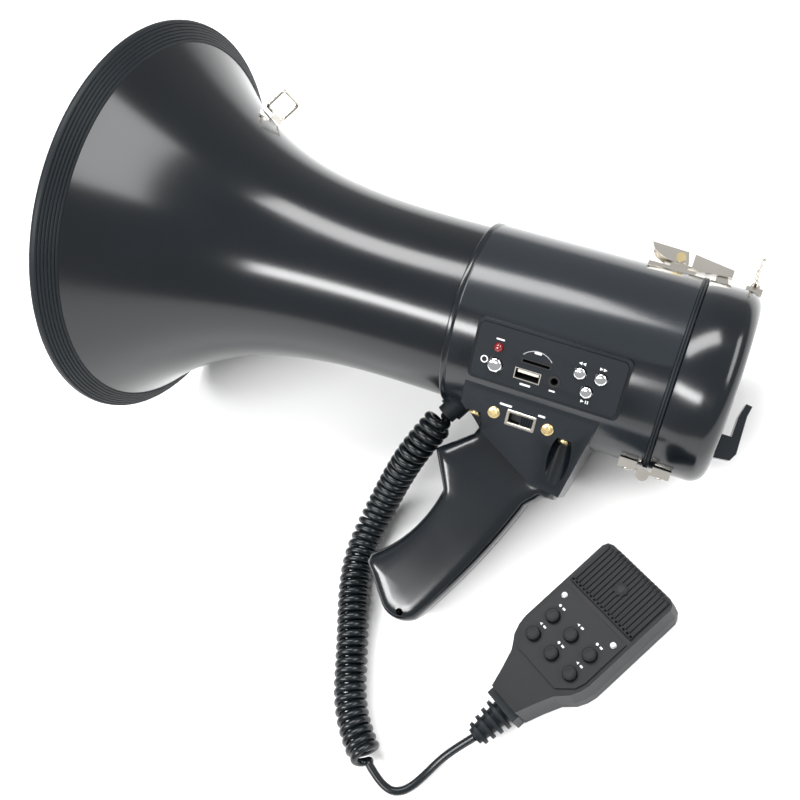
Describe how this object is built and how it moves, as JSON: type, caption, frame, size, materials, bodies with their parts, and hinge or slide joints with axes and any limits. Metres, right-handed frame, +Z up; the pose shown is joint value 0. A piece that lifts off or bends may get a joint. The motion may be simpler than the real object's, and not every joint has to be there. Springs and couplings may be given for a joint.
{
  "type": "handheld megaphone with hand microphone",
  "caption": "Handheld megaphone lying on its side: flared bell, latched rear battery cap, pistol grip, control panel and a coiled-cord hand microphone.",
  "frame": {"origin": "centre of the bounding box on the surface it lies on, cord left out", "axes": "+X towards the bell mouth along the longest extent, +Y towards the grip's end, +Z up from the surface"},
  "size_m": [0.3642, 0.3542, 0.226],
  "materials": {
    "black_shell": "glossy moulded black",
    "rubber_black": "satin black rubber",
    "panel_dark": "matte charcoal",
    "inner_dark": "matte dark",
    "magnet_steel": "zinc plated steel",
    "nickel": "nickel plated steel",
    "screw_gold": "yellow zinc plated",
    "button_chrome": "bright domed",
    "led_red": "clear red lens",
    "cell_jacket": "printed sleeve, no text",
    "board_green": "solder mask",
    "mic_charcoal": "satin charcoal",
    "mic_grey": "matte grey-black",
    "cord_black": "glossy black cord jacket"
  },
  "bodies": {
    "megaphone": {"horn": "black_shell", "bell_ring": "rubber_black", "compression_driver": "magnet_steel", "driver_diaphragm": "inner_dark", "throat_tube": "inner_dark", "reflex_cup": "black_shell", "body_shell": "black_shell", "seam_band": "rubber_black", "battery_tray": "inner_dark", "battery_cells": "cell_jacket", "amplifier_board": "board_green", "player_board": "board_green", "control_panel": "panel_dark", "power_led": "led_red", "usb_socket": "nickel", "card_slot": "inner_dark", "aux_jack": "nickel", "saddle": "black_shell", "saddle_screws": "screw_gold", "switch_frame": "nickel", "grip_left_shell": "black_shell", "grip_right_shell": "black_shell", "grip_screws": "nickel", "cord_gland": "rubber_black", "hinge_body_leaf": "nickel", "hinge_pin": "nickel", "latch_base": "nickel", "latch_rivets": "screw_gold", "front_strap_bracket": "nickel", "cord_coil": "cord_black", "cord_lead": "cord_black", "mic_back_cover": "mic_grey", "mic_front_cover": "mic_charcoal", "mic_button_plate": "mic_charcoal", "mic_grille": "mic_charcoal", "mic_screws": "nickel", "mic_board": "board_green", "mic_capsule": "inner_dark", "mic_strain_relief": "rubber_black"},
    "cap": {"rear_cap": "black_shell", "contact_plate": "nickel", "hinge_cap_leaf": "nickel", "latch_keeper": "nickel", "rear_strap_bracket": "nickel", "mic_hook": "black_shell"},
    "lever": {"latch_lever": "nickel"},
    "claw": {"latch_claw": "nickel"},
    "front_loop": {"front_strap_loop": "nickel"},
    "rear_loop": {"rear_strap_loop": "nickel"},
    "switch": {"switch_knob": "inner_dark"},
    "mode_button": {"mode_button": "button_chrome"},
    "back_button": {"back_button": "button_chrome"},
    "forward_button": {"forward_button": "button_chrome"},
    "play_button": {"play_button": "button_chrome"},
    "mic_button_1": {"mic_button_1": "mic_charcoal"},
    "mic_button_2": {"mic_button_2": "mic_charcoal"},
    "mic_button_3": {"mic_button_3": "mic_charcoal"},
    "mic_button_4": {"mic_button_4": "mic_charcoal"},
    "mic_button_5": {"mic_button_5": "mic_charcoal"},
    "mic_button_6": {"mic_button_6": "mic_charcoal"}
  },
  "joints": [
    {"name": "cap_hinge", "type": "hinge", "parent": "megaphone", "child": "cap", "pos_m": [-0.13884, 0.00787, 0.03419], "axis": [0.182, -0.361, -0.9146], "range_deg": [0, 95]},
    {"name": "latch_lever_turn", "type": "hinge", "parent": "megaphone", "child": "lever", "pos_m": [-0.1317, -0.09499, 0.07621], "axis": [0.182, -0.361, -0.9146], "range_deg": [0, 100]},
    {"name": "latch_claw_turn", "type": "hinge", "parent": "lever", "child": "claw", "pos_m": [-0.12607, -0.09574, 0.07762], "axis": [0.182, -0.361, -0.9146], "range_deg": [-100, 0]},
    {"name": "front_loop_swing", "type": "hinge", "parent": "megaphone", "child": "front_loop", "pos_m": [0.10888, -0.11679, 0.13268], "axis": [-0.182, 0.361, 0.9146], "range_deg": [-85, 85]},
    {"name": "rear_loop_swing", "type": "hinge", "parent": "cap", "child": "rear_loop", "pos_m": [-0.16874, -0.09061, 0.06711], "axis": [-0.182, 0.361, 0.9146], "range_deg": [-110, 40]},
    {"name": "switch_slide", "type": "slide", "parent": "megaphone", "child": "switch", "axis": [0.9808, 0, 0.1952], "range_m": [0, 0.005]},
    {"name": "mode_button_press", "type": "slide", "parent": "megaphone", "child": "mode_button", "axis": [0.1376, -0.7091, -0.6916], "range_m": [0, 0.0008], "stiffness_N_per_m": 400, "springref_m": -0.0006},
    {"name": "back_button_press", "type": "slide", "parent": "megaphone", "child": "back_button", "axis": [0.1376, -0.7091, -0.6916], "range_m": [0, 0.0008], "stiffness_N_per_m": 400, "springref_m": -0.0006},
    {"name": "forward_button_press", "type": "slide", "parent": "megaphone", "child": "forward_button", "axis": [0.1376, -0.7091, -0.6916], "range_m": [0, 0.0008], "stiffness_N_per_m": 400, "springref_m": -0.0006},
    {"name": "play_button_press", "type": "slide", "parent": "megaphone", "child": "play_button", "axis": [0.1376, -0.7091, -0.6916], "range_m": [0, 0.0008], "stiffness_N_per_m": 400, "springref_m": -0.0006},
    {"name": "mic_button_1_press", "type": "slide", "parent": "megaphone", "child": "mic_button_1", "axis": [0, 0, -1], "range_m": [0, 0.001], "stiffness_N_per_m": 400, "springref_m": -0.0006},
    {"name": "mic_button_2_press", "type": "slide", "parent": "megaphone", "child": "mic_button_2", "axis": [0, 0, -1], "range_m": [0, 0.001], "stiffness_N_per_m": 400, "springref_m": -0.0006},
    {"name": "mic_button_3_press", "type": "slide", "parent": "megaphone", "child": "mic_button_3", "axis": [0, 0, -1], "range_m": [0, 0.001], "stiffness_N_per_m": 400, "springref_m": -0.0006},
    {"name": "mic_button_4_press", "type": "slide", "parent": "megaphone", "child": "mic_button_4", "axis": [0, 0, -1], "range_m": [0, 0.001], "stiffness_N_per_m": 400, "springref_m": -0.0006},
    {"name": "mic_button_5_press", "type": "slide", "parent": "megaphone", "child": "mic_button_5", "axis": [0, 0, -1], "range_m": [0, 0.001], "stiffness_N_per_m": 400, "springref_m": -0.0006},
    {"name": "mic_button_6_press", "type": "slide", "parent": "megaphone", "child": "mic_button_6", "axis": [0, 0, -1], "range_m": [0, 0.001], "stiffness_N_per_m": 400, "springref_m": -0.0006}
  ],
  "couplings": [
    {"joint": "latch_claw_turn", "follows": "latch_lever_turn", "ratio": -1}
  ]
}
